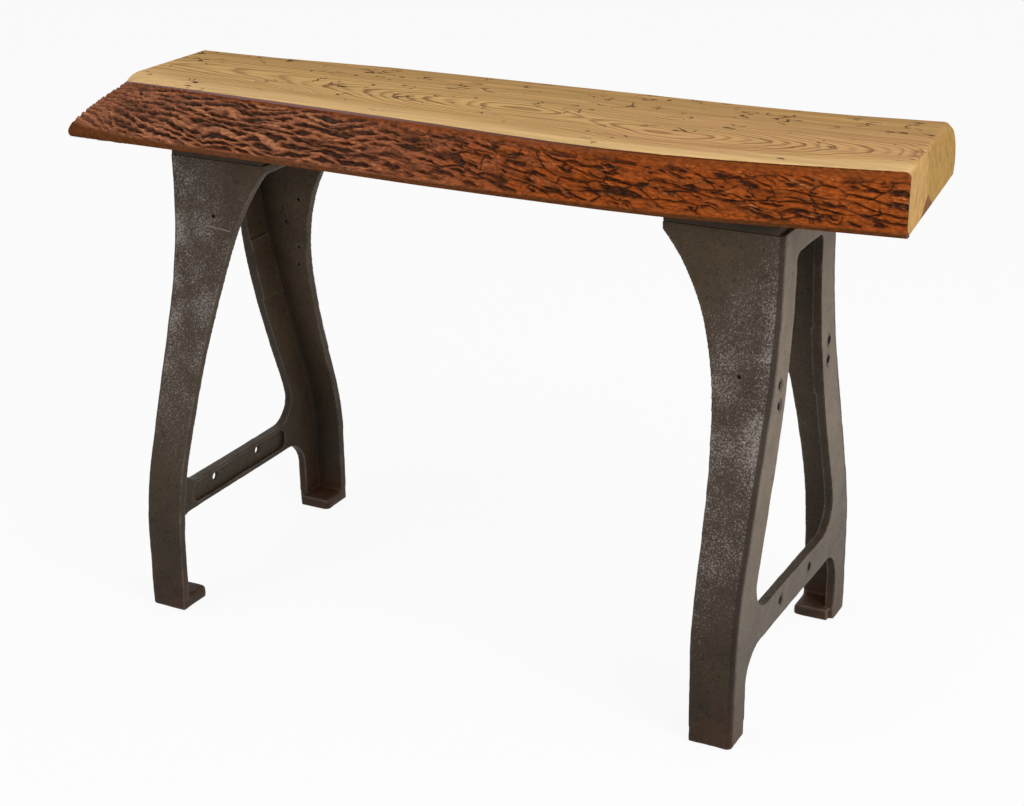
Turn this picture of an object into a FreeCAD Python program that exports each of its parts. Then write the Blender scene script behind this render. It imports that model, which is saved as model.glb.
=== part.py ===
import FreeCAD, Part
import math
import os
from collections import namedtuple

# Console table: a thick live edge plank on two cast iron machine legs.
# X runs along the table, Y from front to back, Z up, all in millimetres.
# The origin is on the floor under the middle of the table.

Vector = FreeCAD.Vector

# Driving dimensions of the whole table
table_height = 868.0
table_length = 1346.0
leg_spread = 1062.0
leg_middle_x = -30.0

# Driving dimensions of a leg casting, whose outer face is at depth 0
casting_height = 757.0
foot_depth = 518.0
ankle_depth = 514.0
head_depth = 236.0
ankle_height = 120.0
neck_height = 720.0
neck_sweep_radius = 700.0
leg_slant_degrees = 19.0
web_thickness = 16.0
flange_thickness = 15.0
head_thickness = 16.0
arris_radius = 9.0
root_radius = 4.0

# Width of the flange, from the casting's outer face inwards
flange_foot_width = 68.5
flange_ankle_width = 71.0
flange_head_width = 186.0
flange_straight_height = 172.0
flange_lip_height = 745.0
flange_low_handle = 267.0
flange_high_handle = Vector(-99.0, 0.0, -112.0)

# Three-sided opening above the cross-bar
opening_top = 716.0
opening_top_width = 112.0
opening_waist_width = 92.0
opening_waist_height = 498.0
opening_foot_width = 338.0
opening_foot_handle = 40.0
opening_head_radius = 14.0
opening_foot_radius = 45.0

# Cross-bar and the arch between the feet
bar_top = 186.0
bar_bottom = 134.0
arch_width = 404.0
arch_radius = 52.0

# Foot pads inside the angle of web and flange, a little past the web's edge
pad_reach = 10.0
pad_thickness = 20.0
pad_radius = 8.0

# Raised bosses, blind bolt holes behind them, and bolt holes through the cross-bar
boss_bottom = 442.0
boss_top = 560.0
boss_rise = 3.5
bolt_hole_diameter = 12.0
boss_hole_y = 107.5
boss_hole_heights = (498.5, 530.5)
boss_hole_depth = 15.0
bar_hole_y = 65.0
bar_hole_height = 162.0
countersink_diameter = 20.0
countersink_depth = 3.0

# Panel sunk into the inner face of the cross-bar, with a rim left above and below
panel_depth = 7.5
panel_rim = 9.0
panel_length = 280.0
panel_radius = 12.0

# Small holes drilled through the flanges, as (depth from outer face, height)
pit_diameter = 6.0
left_front_pits = [(81.5, 662.0)]
left_rear_pits = [(95.0, 633.0), (62.0, 586.0), (79.0, 541.0), (69.0, 504.0)]
right_front_pits = [(52.0, 546.0)]

# Steel mounting plate between casting and plank
plate_thickness = 15.0
plate_length = 178.0
plate_inset_left = 5.0
plate_inset_right = 7.0
plate_chamfer = 1.5

# Lag screws and washers under the casting's head
screw_diameter = 10.0
screw_length = 84.0
screw_hole_clearance = 1.0
screw_head_flats = 16.0
screw_head_height = 6.5
screw_depths = (62.0, 140.0)
screw_y = 66.0
washer_diameter = 25.0
washer_thickness = 2.0

# Plank: bark thickness, the skewed right end, and sections along X.
# border is where wood meets bark on top, drop how far the top has rolled
# over there, shoulder how wide that roll is, edge the lowest front point of
# the bark, lip how far the bark hangs over that edge as a rounded nose, back
# the rear edge of the top, swell how far the rear bulges.
bark_thickness = 11.0
bark_bulge = 11.0
bark_handle_shares = (0.33, 0.67)
lip_reach = 0.47
lip_bulge = 24.0
bark_top_share = 0.4
undercut_slope = 2.8
undercut_least = 6.0
roll_handle_share = 0.25
joint_facets = 3
rear_foot_share = 0.86
rear_belly_share = 1.36
rear_belly_height = 32.0
rear_brow_share = 0.64
rear_brow_drop = 10.0
saw_allowance = 1.0
end_corner_y = -112.1
end_skew_degrees = 5.9
end_rounding = 3.0
Station = namedtuple("Station", "x border drop shoulder edge_y edge_z lip back swell")
stations = [
    Station(x=-673, border=-71, drop=11, shoulder=57, edge_y=-223, edge_z=799, lip=1, back=142, swell=62),
    Station(x=-520, border=-104, drop=3, shoulder=26, edge_y=-190, edge_z=788, lip=0.3, back=142, swell=66),
    Station(x=-300, border=-121, drop=2, shoulder=14, edge_y=-184, edge_z=785.3, lip=0, back=158, swell=64),
    Station(x=-60, border=-137, drop=2, shoulder=14, edge_y=-180, edge_z=781, lip=0, back=158, swell=70),
    Station(x=160, border=-158, drop=2, shoulder=14, edge_y=-176, edge_z=779.3, lip=0, back=158, swell=66),
    Station(x=330, border=-157, drop=2, shoulder=14, edge_y=-163, edge_z=777, lip=0, back=156, swell=72),
    Station(x=500, border=-134, drop=2, shoulder=14, edge_y=-130, edge_z=775, lip=0, back=164, swell=70),
    Station(x=690, border=-95, drop=2, shoulder=14, edge_y=-106, edge_z=775, lip=0, back=192, swell=70),
]

# Main furrows of the bark: lenses with a sharp bottom that slant down to the
# right, in rows at these shares of the way down its face
furrow_rows = (0.3, 0.52, 0.74)
furrow_gap = 64.0
furrow_length = 66.0
furrow_width = 11.0
furrow_depth = 5.5
furrow_fall = 12.0
furrow_sway = 9.0
furrow_proud = 1.5

# Worked out from the driving dimensions
outer_face_left = leg_middle_x - leg_spread / 2
outer_face_right = leg_middle_x + leg_spread / 2
plank_bottom = casting_height + plate_thickness
plank_top = table_height
unsawn_bottom = plank_bottom - saw_allowance
unsawn_top = plank_top + saw_allowance
inner_head = casting_height - head_thickness
beyond = 60.0
half_right_angle = math.sqrt(0.5)
golden_angle = math.pi * (3 - math.sqrt(5))


def line(start, end):
    return Part.LineSegment(start, end).toShape()


def bezier(*poles):
    curve = Part.BezierCurve()
    curve.setPoles(list(poles))
    return curve.toShape()


def chain(points):
    return [line(start, end) for start, end in zip(points, points[1:])]


def corner(before, centre_offset, after, centre):
    """A quarter round from one tangent point to the other about its centre."""
    middle = centre + centre_offset
    return Part.Arc(before, middle, after).toShape()


def prism(edges, depth_from, depth_to):
    """Extrude a closed outline drawn in the YZ plane along X."""
    face = Part.Face(Part.Wire(Part.__sortEdges__(edges)))
    solid = face.extrude(Vector(depth_to - depth_from, 0, 0))
    solid.translate(Vector(depth_from, 0, 0))
    return solid


def at(y, z):
    return Vector(0, y, z)


def edges_on_depth(shape, depth):
    """The edges of a shape that lie wholly at one depth."""
    found = []
    for edge in shape.Edges:
        box = edge.BoundBox
        if abs(box.XMin - depth) < 0.01 and abs(box.XMax - depth) < 0.01:
            found.append(edge)
    return found


def round_rod(centre, axis, diameter, length):
    return Part.makeCylinder(diameter / 2, length, centre, axis)


# Leg casting


def ogee(side, inset):
    """Outer edge of one leg from neck to ankle, two arcs and their tangent, moved inwards by inset."""
    slant = math.radians(leg_slant_degrees)
    rise = neck_height - ankle_height
    spread = (ankle_depth - head_depth) / 2
    both_radii = (rise * math.sin(slant) - spread * math.cos(slant)) / (1 - math.cos(slant))
    head_y = head_depth / 2 - inset
    ankle_y = ankle_depth / 2 - inset
    neck_radius = neck_sweep_radius + inset
    ankle_radius = both_radii - neck_sweep_radius - inset

    def on_neck(angle):
        y = head_y + neck_radius * (1 - math.cos(angle))
        return at(side * y, neck_height - neck_radius * math.sin(angle))

    def on_ankle(angle):
        y = ankle_y - ankle_radius * (1 - math.cos(angle))
        return at(side * y, ankle_height + ankle_radius * math.sin(angle))

    return [
        Part.Arc(on_neck(0), on_neck(slant / 2), on_neck(slant)).toShape(),
        line(on_neck(slant), on_ankle(slant)),
        Part.Arc(on_ankle(slant), on_ankle(slant / 2), on_ankle(0)).toShape(),
    ]


def silhouette(inset, bottom, top):
    """Closed outline of the whole casting seen along the table."""
    edges = []
    for side in (-1, 1):
        head_y = side * (head_depth / 2 - inset)
        ankle_y = side * (ankle_depth / 2 - inset)
        foot_y = side * (foot_depth / 2 - inset)
        edges.append(line(at(head_y, top), at(head_y, neck_height)))
        edges.extend(ogee(side, inset))
        edges.append(line(at(ankle_y, ankle_height), at(foot_y, bottom)))
    edges.append(line(at(inset - head_depth / 2, top), at(head_depth / 2 - inset, top)))
    edges.append(line(at(inset - foot_depth / 2, bottom), at(foot_depth / 2 - inset, bottom)))
    return edges


def opening_outline():
    edges = []
    head = opening_top_width / 2
    foot = opening_foot_width / 2
    turn = opening_foot_radius
    bend = half_right_angle * turn
    for side in (-1, 1):
        foot_end = at(side * foot, bar_top + turn)
        edges.append(bezier(
            at(side * head, opening_top),
            at(side * opening_waist_width / 2, opening_waist_height),
            at(side * foot, bar_top + turn + opening_foot_handle),
            foot_end,
        ))
        centre = at(side * (foot - turn), bar_top + turn)
        offset = Vector(0, side * bend, -bend)
        edges.append(corner(foot_end, offset, at(side * (foot - turn), bar_top), centre))
    edges.append(line(at(-head, opening_top), at(head, opening_top)))
    edges.append(line(at(turn - foot, bar_top), at(foot - turn, bar_top)))
    return edges


def arch_outline():
    half = arch_width / 2
    spring = bar_bottom - arch_radius
    bend = half_right_angle * arch_radius
    edges = [
        line(at(-half, -beyond), at(half, -beyond)),
        line(at(arch_radius - half, bar_bottom), at(half - arch_radius, bar_bottom)),
    ]
    for side in (-1, 1):
        edges.append(line(at(side * half, -beyond), at(side * half, spring)))
        centre = at(side * (half - arch_radius), spring)
        offset = Vector(0, side * bend, bend)
        crown = at(side * (half - arch_radius), bar_bottom)
        edges.append(corner(at(side * half, spring), offset, crown, centre))
    return edges


def flange_limit():
    """Everything outside of the flanges' inner edge, seen from the front."""
    lip = Vector(flange_head_width, 0, flange_lip_height)
    low = Vector(flange_ankle_width, 0, flange_straight_height)
    edges = [
        line(Vector(-beyond, 0, 0), Vector(flange_foot_width, 0, 0)),
        line(Vector(flange_foot_width, 0, 0), low),
        bezier(low, low + Vector(0, 0, flange_low_handle), lip + flange_high_handle, lip),
        line(lip, Vector(flange_head_width, 0, casting_height)),
        line(Vector(flange_head_width, 0, casting_height), Vector(-beyond, 0, casting_height)),
        line(Vector(-beyond, 0, casting_height), Vector(-beyond, 0, 0)),
    ]
    face = Part.Face(Part.Wire(Part.__sortEdges__(edges)))
    face.translate(Vector(0, -foot_depth, 0))
    return face.extrude(Vector(0, 2 * foot_depth, 0))


def foot_pad(side):
    near = arch_width / 2 - pad_reach
    far = foot_depth / 2 - flange_thickness / 2
    start = web_thickness / 2
    pad = Part.makeBox(flange_foot_width - start, far - near, pad_thickness, Vector(start, near, 0))
    rounded = []
    for edge in pad.Edges:
        box = edge.BoundBox
        on_end = box.XMin > flange_foot_width - 0.01
        if on_end and (box.ZMin > pad_thickness - 0.01 or box.YMax < near + 0.01):
            rounded.append(edge)
    pad = pad.makeFillet(pad_radius, rounded)
    if side < 0:
        pad = pad.mirror(Vector(0, 0, 0), Vector(0, 1, 0))
    return pad


def boss_band():
    """Raised stretch of web around the upper bolt holes of both legs."""
    band = Part.makeBox(boss_rise + 1, foot_depth, boss_top - boss_bottom)
    band.translate(Vector(web_thickness - 1, -foot_depth / 2, boss_bottom))
    inside = prism(silhouette(flange_thickness / 2, 0, casting_height), 0, 2 * web_thickness)
    return band.common(inside)


def bar_panel():
    height = bar_top - bar_bottom - 2 * panel_rim
    panel = Part.makeBox(panel_depth, panel_length, height)
    panel.translate(Vector(web_thickness - panel_depth, -panel_length / 2, bar_bottom + panel_rim))
    corners = [edge for edge in panel.Edges if edge.BoundBox.XLength > panel_depth / 2]
    return panel.makeFillet(panel_radius, corners)


def bolt_holes():
    holes = []
    inwards = Vector(1, 0, 0)
    for side in (-1, 1):
        for height in boss_hole_heights:
            start = Vector(-beyond, side * boss_hole_y, height)
            holes.append(round_rod(start, inwards, bolt_hole_diameter, beyond + boss_hole_depth))
        start = Vector(-beyond, side * bar_hole_y, bar_hole_height)
        holes.append(round_rod(start, inwards, bolt_hole_diameter, 2 * beyond))
        bar_face = web_thickness - panel_depth
        mouth = Vector(bar_face - countersink_depth, side * bar_hole_y, bar_hole_height)
        holes.append(Part.makeCone(
            bolt_hole_diameter / 2, countersink_diameter / 2, countersink_depth, mouth, inwards,
        ))
    return holes


def screw_places():
    """Lag screw axes in the casting's head, as (depth, y)."""
    return [(depth, side * screw_y) for depth in screw_depths for side in (-1, 1)]


def flange_pits(front_pits, rear_pits):
    holes = []
    for pits, side in ((front_pits, -1), (rear_pits, 1)):
        for depth, height in pits:
            start = Vector(depth, side * head_depth / 4, height)
            holes.append(round_rod(start, Vector(0, side, 0), pit_diameter, foot_depth))
    return holes


def leg_casting(front_pits, rear_pits):
    """One casting with its outer face at depth 0 and its flanges towards +X."""
    body = prism(silhouette(0, 0, casting_height), 0, flange_head_width + beyond)
    body = body.makeFillet(arris_radius, [
        edge for edge in edges_on_depth(body, 0)
        if edge.BoundBox.ZLength > 1
    ])
    body = body.common(flange_limit())
    cavity = prism(silhouette(flange_thickness, -beyond, inner_head), web_thickness, 2 * flange_head_width)
    cavity = cavity.makeFillet(root_radius, [
        edge for edge in edges_on_depth(cavity, web_thickness)
        if edge.BoundBox.ZMax > 0
    ])
    body = body.cut(cavity)
    body = body.fuse(boss_band())
    opening = prism(opening_outline(), -beyond, flange_foot_width)
    opening = opening.makeFillet(opening_head_radius, [
        edge for edge in opening.Edges
        if edge.BoundBox.ZMin > opening_top - 0.01 and edge.BoundBox.YLength < 0.01
    ])
    arch = prism(arch_outline(), -beyond, flange_head_width)
    body = body.cut([opening, arch, bar_panel()]).fuse([foot_pad(-1), foot_pad(1)])
    holes = bolt_holes() + flange_pits(front_pits, rear_pits)
    for depth, y in screw_places():
        start = Vector(depth, y, inner_head - beyond)
        holes.append(round_rod(start, Vector(0, 0, 1), screw_diameter + screw_hole_clearance, 2 * beyond))
    return body.cut(holes).removeSplitter()


# Plate, screws and washers, placed from the casting's outer face inwards


def mounting_plate(inset):
    plate = Part.makeBox(plate_length, head_depth, plate_thickness)
    plate.translate(Vector(inset, -head_depth / 2, casting_height))
    plate = plate.makeChamfer(plate_chamfer, plate.Edges)
    for depth, y in screw_places():
        start = Vector(depth, y, casting_height - beyond)
        hole = round_rod(start, Vector(0, 0, 1), screw_diameter + screw_hole_clearance, 3 * beyond)
        plate = plate.cut(hole)
    return plate


def lag_screw(depth, y):
    seat = inner_head - washer_thickness
    flats = screw_head_flats / 2
    across = flats / math.cos(math.radians(30))
    hexagon = [Vector(0, across, 0)]
    turn = FreeCAD.Rotation(Vector(0, 0, 1), 60)
    for _ in range(6):
        hexagon.append(turn.multVec(hexagon[-1]))
    head = Part.Face(Part.makePolygon(hexagon)).extrude(Vector(0, 0, screw_head_height))
    head.translate(Vector(depth, y, seat - screw_head_height))
    shank = Part.makeCylinder(screw_diameter / 2, screw_length, Vector(depth, y, seat))
    return head.fuse(shank).removeSplitter()


def washer(depth, y):
    seat = Vector(depth, y, inner_head - washer_thickness)
    disc = Part.makeCylinder(washer_diameter / 2, washer_thickness, seat)
    bore = Part.makeCylinder((screw_diameter + screw_hole_clearance) / 2, washer_thickness, seat)
    return disc.cut(bore)


def screw_set(make):
    return Part.Compound([make(depth, y) for depth, y in screw_places()])


# Plank and bark


def between(before, start, end, after):
    """A station halfway from start to end, on a smooth cubic curve through all four."""
    near_share = 9 / 16
    far_share = 1 / 16
    values = []
    for a, b, c, d in zip(before, start, end, after):
        values.append(near_share * (b + c) - far_share * (a + d))
    return Station(*values)


def plank_stations():
    """The stations named above, a smooth one between each pair, and one past the left end."""
    padded = stations[:1] + stations + stations[-1:]
    full = [stations[0]._replace(x=stations[0].x - saw_allowance)]
    for number in range(len(stations) - 1):
        full.append(stations[number])
        full.append(between(*padded[number:number + 4]))
    return full + stations[-1:]


def point(station, y, z):
    return Vector(station.x, y, z)


def bark_outside(station):
    """Outer face of the bark in section, as a curve, and the foot of the undercut below it."""
    start = point(station, station.border, plank_top - station.drop)
    edge = point(station, station.edge_y, station.edge_z)
    fall = edge - start
    outwards = Vector(0, fall.z, -fall.y).normalize()
    high, low = bark_handle_shares
    brow = fall * high + outwards * bark_bulge
    nose = fall * (low + lip_reach * station.lip) + outwards * (bark_bulge + lip_bulge * station.lip)
    undercut = undercut_slope * (station.edge_z - plank_bottom) + undercut_least
    foot = point(station, station.edge_y + undercut, unsawn_bottom)
    return [start, start + brow, start + nose, edge], foot


def bark_inside(station):
    """Where bark and wood meet in section, as a row of points, and the foot of that joint."""
    face, foot = bark_outside(station)
    fall = face[3] - face[0]
    inwards = Vector(0, -fall.z, fall.y).normalize() * bark_thickness
    up_the_face = (face[2] - face[3]).normalize()
    along_the_undercut = (foot - face[3]).normalize()
    middle = (up_the_face + along_the_undercut).normalize()
    edge_depth = bark_thickness / up_the_face.cross(middle).Length
    wood_top = face[0] - Vector(0, 0, bark_thickness * bark_top_share)
    curve = Part.BezierCurve()
    curve.setPoles([wood_top, face[1] + inwards, face[2] + inwards, face[3] + middle * edge_depth])
    joint = [curve.value(number / joint_facets) for number in range(joint_facets + 1)]
    return joint, foot + Vector(0, bark_thickness, 0)


def plank_section(station):
    face, _ = bark_outside(station)
    joint, joint_foot = bark_inside(station)
    roll = point(station, station.border + station.shoulder, unsawn_top)
    roll_handle = point(station, station.border + roll_handle_share * station.shoulder, unsawn_top)
    rear = point(station, station.back, unsawn_top)
    foot = point(station, station.back + rear_foot_share * station.swell, unsawn_bottom)
    belly = point(station, station.back + rear_belly_share * station.swell, plank_bottom + rear_belly_height)
    brow = point(station, station.back + rear_brow_share * station.swell, plank_top - rear_brow_drop)
    return Part.Wire([
        line(rear, roll),
        bezier(roll, roll_handle, face[0]),
        line(face[0], joint[0]),
        *chain(joint),
        line(joint[-1], joint_foot),
        line(joint_foot, foot),
        bezier(foot, belly, brow, rear),
    ])


def bark_section(station):
    face, foot = bark_outside(station)
    joint, joint_foot = bark_inside(station)
    return Part.Wire([
        bezier(*face),
        line(face[-1], foot),
        line(foot, joint_foot),
        line(joint_foot, joint[-1]),
        *chain(joint[::-1]),
        line(joint[0], face[0]),
    ])


def sawn_stock():
    """What saw and sander leave: flat above and below, skewed at the right end, end edges eased."""
    half_length = table_length / 2
    corners = []
    for side in (-1, 1):
        y = side * foot_depth
        skew = (y - end_corner_y) * math.tan(math.radians(end_skew_degrees))
        ends = [Vector(-half_length, y, plank_bottom), Vector(half_length - skew, y, plank_bottom)]
        corners.extend(ends[::side])
    outline = Part.makePolygon(corners + corners[:1])
    block = Part.Face(outline).extrude(Vector(0, 0, plank_top - plank_bottom))
    end_edges = [edge for edge in block.Edges if edge.BoundBox.YLength > foot_depth]
    return block.makeFillet(end_rounding, end_edges)


def along_the_plank(section):
    solid = Part.makeLoft([section(station) for station in plank_stations()], True, True)
    return solid.common(sawn_stock())


def on_bark(x, share):
    """A point of the bark's face, the way down it and the way out of it."""
    full = plank_stations()
    number = max(index for index in range(len(full) - 1) if full[index].x <= x)
    start, end = full[number:number + 2]
    along = (x - start.x) / (end.x - start.x)
    spot = Vector()
    down = Vector()
    for station, part in ((start, 1 - along), (end, along)):
        curve = Part.BezierCurve()
        curve.setPoles(bark_outside(station)[0])
        spot += curve.value(share) * part
        down += curve.tangent(share)[0] * part
    down.normalize()
    return spot, down, Vector(0, down.z, -down.y)


def furrow(x, share, length):
    """A cutter for one furrow: two ends and two sides just clear of the bark, and a bottom in it."""
    middle, down, outwards = on_bark(x, share)
    rim = []
    for along, across in ((-length, -furrow_fall), (0, furrow_width), (length, furrow_fall), (0, -furrow_width)):
        spot, way_down, way_out = on_bark(x + along / 2, share)
        rim.append(spot + way_down * (across / 2) + way_out * furrow_proud)
    bottom = middle - outwards * furrow_depth
    triangles = [(rim[0], rim[1], rim[2]), (rim[2], rim[3], rim[0])]
    triangles += [(rim[number], rim[number - 1], bottom) for number in range(4)]
    faces = [Part.Face(Part.makePolygon(triangle + triangle[:1])) for triangle in triangles]
    return Part.Solid(Part.Shell(faces))


def furrows():
    """All furrows: rows along the bark, each shifted against the last, with uneven places and lengths."""
    cutters = []
    columns = int(table_length / furrow_gap) - 1
    for row, share in enumerate(furrow_rows):
        for column in range(columns):
            sway = math.sin(golden_angle * (column + columns * row))
            x = furrow_gap * (column - (columns - 1) / 2 + (row - 1) / 3) + furrow_sway * sway
            cutters.append(furrow(x, share, furrow_length + furrow_sway * sway))
    return cutters


def handed(shape, side):
    """Stand a shape made from depth 0 inwards at the left or the right leg."""
    if side == "left":
        placed = shape.copy()
        placed.translate(Vector(outer_face_left, 0, 0))
    else:
        placed = shape.mirror(Vector(0, 0, 0), Vector(1, 0, 0))
        placed.translate(Vector(outer_face_right, 0, 0))
    return placed


def build():
    parts = {
        "left_leg_casting": handed(leg_casting(left_front_pits, left_rear_pits), "left"),
        "right_leg_casting": handed(leg_casting(right_front_pits, []), "right"),
        "left_mounting_plate": handed(mounting_plate(plate_inset_left), "left"),
        "right_mounting_plate": handed(mounting_plate(plate_inset_right), "right"),
    }
    for name, make in (("lag_screws", lag_screw), ("washers", washer)):
        sets = [handed(screw_set(make), side) for side in ("left", "right")]
        parts[name] = Part.Compound([solid for one in sets for solid in one.Solids])
    parts["top_slab"] = along_the_plank(plank_section).cut(parts["lag_screws"])
    parts["bark_edge"] = along_the_plank(bark_section).cut(furrows())
    return parts


os.makedirs("parts", exist_ok=True)
for name, shape in build().items():
    shape.exportStep("parts/" + name + ".step")
    print(name, shape.isValid(), len(shape.Solids), round(shape.Volume / 1000, 1), shape.BoundBox)
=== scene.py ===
"""Live edge console table: the finish of its plank, bark, cast iron legs, plates and fasteners."""

import math
from functools import partial

import bmesh
import bpy
from mathutils import Matrix, Vector, bvhtree, geometry, noise


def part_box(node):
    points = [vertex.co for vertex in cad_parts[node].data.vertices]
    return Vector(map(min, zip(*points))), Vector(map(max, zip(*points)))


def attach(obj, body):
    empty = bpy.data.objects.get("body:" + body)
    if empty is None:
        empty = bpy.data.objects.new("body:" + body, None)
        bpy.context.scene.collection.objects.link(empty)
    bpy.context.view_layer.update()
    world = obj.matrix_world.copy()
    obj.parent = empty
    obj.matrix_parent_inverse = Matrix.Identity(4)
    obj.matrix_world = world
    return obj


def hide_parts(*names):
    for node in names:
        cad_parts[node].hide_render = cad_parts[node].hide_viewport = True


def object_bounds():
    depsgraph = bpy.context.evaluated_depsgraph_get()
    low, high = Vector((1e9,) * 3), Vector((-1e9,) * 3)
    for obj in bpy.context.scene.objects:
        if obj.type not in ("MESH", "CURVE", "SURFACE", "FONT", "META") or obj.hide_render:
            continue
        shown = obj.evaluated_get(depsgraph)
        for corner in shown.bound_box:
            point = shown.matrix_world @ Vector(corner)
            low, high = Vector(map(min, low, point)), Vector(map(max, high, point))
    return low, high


bl_info = {
    "name": "Live Edge Console Table",
    "version": (1, 0, 0),
    "blender": (4, 5, 0),
    "location": "View3D > Sidebar > Table",
    "description": "Dresses the packed console table in wood, bark and cast iron",
    "category": "Object",
}

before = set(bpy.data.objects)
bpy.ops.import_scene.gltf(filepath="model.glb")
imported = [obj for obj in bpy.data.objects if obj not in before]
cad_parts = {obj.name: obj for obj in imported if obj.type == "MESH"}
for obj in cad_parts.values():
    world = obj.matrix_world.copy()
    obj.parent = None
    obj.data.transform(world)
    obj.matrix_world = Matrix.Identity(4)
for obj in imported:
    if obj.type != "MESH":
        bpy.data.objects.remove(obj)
cad_low, cad_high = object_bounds()

MM = 0.001
MERGE_DISTANCE = 0.01 * MM
HAIR = 0.2 * MM
BODY = "root"
LARGEST_REMESH_SCALE = 0.99
SHARP_ANGLE = math.radians(40)
SAWN_FLAT = 0.99999

# Most values of a noise texture lie between these two
NOISE_BAND = (0.3, 0.7)

# Places that the finish follows, read from the frame
slab_low, slab_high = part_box("top_slab")
half_length = cad_high.x


# Colours and properties


def linear(code):
    """Turn an sRGB hex colour into linear red, green, blue and alpha."""
    channels = []
    for start in (1, 3, 5):
        value = int(code[start:start + 2], 16) / 255
        if value <= 0.04045:
            channels.append(value / 12.92)
        else:
            channels.append(((value + 0.055) / 1.055) ** 2.4)
    return (*channels, 1.0)


def colour(name, description, code):
    """A colour property whose default is an sRGB hex value."""
    return bpy.props.FloatVectorProperty(
        name=name, description=description, default=linear(code), size=4, subtype="COLOR", min=0, max=1,
    )


def plain_number(name, description, default, **options):
    """A number property."""
    return bpy.props.FloatProperty(name=name, description=description, default=default, **options)


def length(name, description, millimetres):
    """A length property whose default is given in millimetres."""
    return plain_number(name, description, millimetres * MM, min=0, unit="LENGTH", precision=5)


def row_count(name, description, count):
    """A property that counts rows of mesh faces."""
    return bpy.props.IntProperty(name=name, description=description, default=count, min=2)


class PlankSettings(bpy.types.PropertyGroup):
    """Sizes and colours of the wooden plank."""

    skin: length("Skin", "Size of the plank's mesh faces", 7.0)
    end_radius: length("End radius", "Quarter round where the top meets the right end", 9.0)
    ring_spacing: length("Ring spacing", "Distance between two growth rings", 4.6)
    ring_drift: length("Ring drift", "How far the rings wander from a true round", 9.0)
    fibre_width: length("Fibre width", "Width of the fine streaks along the grain", 1.6)
    rear_waves: length("Rear waves", "Depth of the waves on the debarked rear edge", 2.5)
    early_wood: colour("Early wood", "Pale wood between the ring lines", "#D2A86C")
    late_wood: colour("Late wood", "Darker ring lines", "#7A5230")
    sap_wood: colour("Sapwood", "Yellow strip next to the bark", "#DBB47C")
    back_wood: colour("Back", "Olive tan wood towards the rear edge", "#BC945A")
    rosy_wood: colour("Rosy wood", "Pinkish wood towards the right end", "#C29064")
    end_wood: colour("End grain", "Sawn end in front of its crease", "#BE965C")
    end_back_wood: colour("End grain behind", "Sawn end behind its crease", "#AE884A")
    heart_wood: colour("Heartwood", "Red brown heart at the foot of the right end", "#7F5735")
    track: colour("Insect tracks", "Dark tracks of beetles in the wood", "#4A3018")


class BarkSettings(bpy.types.PropertyGroup):
    """Sizes and colours of the bark."""

    skin: length("Skin", "Length of the bark's mesh faces", 1.6)
    face_rows: row_count("Face rows", "Mesh rows down the bark's face", 88)
    turn_rows: row_count("Turn rows", "Mesh rows under the bark's edge", 6)
    hidden_rows: row_count("Hidden rows", "Mesh rows against the wood", 6)
    plate_length: length("Plate length", "Length of the plates of the right half", 46.0)
    plate_height: length("Plate height", "Height of the plates of the right half", 15.0)
    plate_lift: length("Plate lift", "How far plates stand above each other", 1.4)
    hollow_length: length("Hollow length", "Length of the hollows of the left half", 52.0)
    hollow_height: length("Hollow height", "Height of the hollows of the left half", 7.0)
    crack_depth: length("Crack depth", "Depth of cracks and hollows", 4.5)
    crack_width: length("Crack width", "Half width of the wider cracks", 2.3)
    roughness: length("Roughness", "Depth of the rough skin on the plates", 0.7)
    slant: plain_number("Slant", "How far cracks fall for each metre to the right", 0.16)
    orange_plate: colour("Orange plates", "Lighter plates, most of them to the right", "#9B4B18")
    red_plate: colour("Red plates", "Red brown ridges, most of them to the left", "#945C3F")
    # Pale flecks: worn flecks on the plates, and painted highlights on the crests of the ridges
    pale_fleck: colour("Pale flecks", "Worn yellowish flecks on the plates", "#B27C52")
    # Crevices: dark inner bark with painted shade at the bottom of the cracks
    crevice: colour("Crevices", "Bottom of the cracks", "#21130A")
    upper_strip: colour("Upper strip", "Smooth inner bark along the top", "#7A3C14")
    lower_strip: colour("Lower strip", "Smooth inner bark along the bottom", "#5A3113")
    # Left rim: cambium with a painted sheen
    left_rim: colour("Left rim", "Purple grey rim between wood and bark, at the left", "#7D5E5A")
    right_rim: colour("Right rim", "Dark rim between wood and bark, at the right", "#4F2A12")
    sawn_bark: colour("Sawn bark", "Bark where the ends are sawn", "#5E3519")


class IronSettings(bpy.types.PropertyGroup):
    """Sizes and colours of the iron and steel pieces."""

    skin: length("Skin", "Size of the castings' mesh faces", 2.8)
    sand_waves: length("Sand waves", "Depth of the waves that the sand mould left", 0.6)
    pebble: length("Pebble", "Size of the pebbles of the cast skin", 2.6)
    iron: colour("Iron", "Sealed dark cast iron, brown at head and foot", "#453829")
    # Grey iron: wear with painted sheen at mid height of the flanges
    grey_iron: colour("Grey iron", "Worn grey of the legs at mid height", "#4A403A")
    # Pale iron: the smoother outer faces of the webs, made paler with painted light
    pale_iron: colour("Pale iron", "Smoother outer faces of the webs", "#6C5F50")
    # Glint is painted light: glints on the pebbled skin and highlights on the arrises; the bare metal of the
    # scratch takes it too
    glint: colour("Glint", "Bare specks on the cast skin", "#AFA69C")
    # Painted shade inside the drilled holes
    bore: colour("Bore", "Dirt inside the drilled holes", "#1A130E")
    rust: colour("Rust", "Rust tint near the feet", "#4A2E1E")
    plate_paint: colour("Plate paint", "Dark paint of the mounting plates", "#382E24")
    zinc: colour("Zinc", "Zinc plate of the screws and washers", "#B9BBBD")


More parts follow.
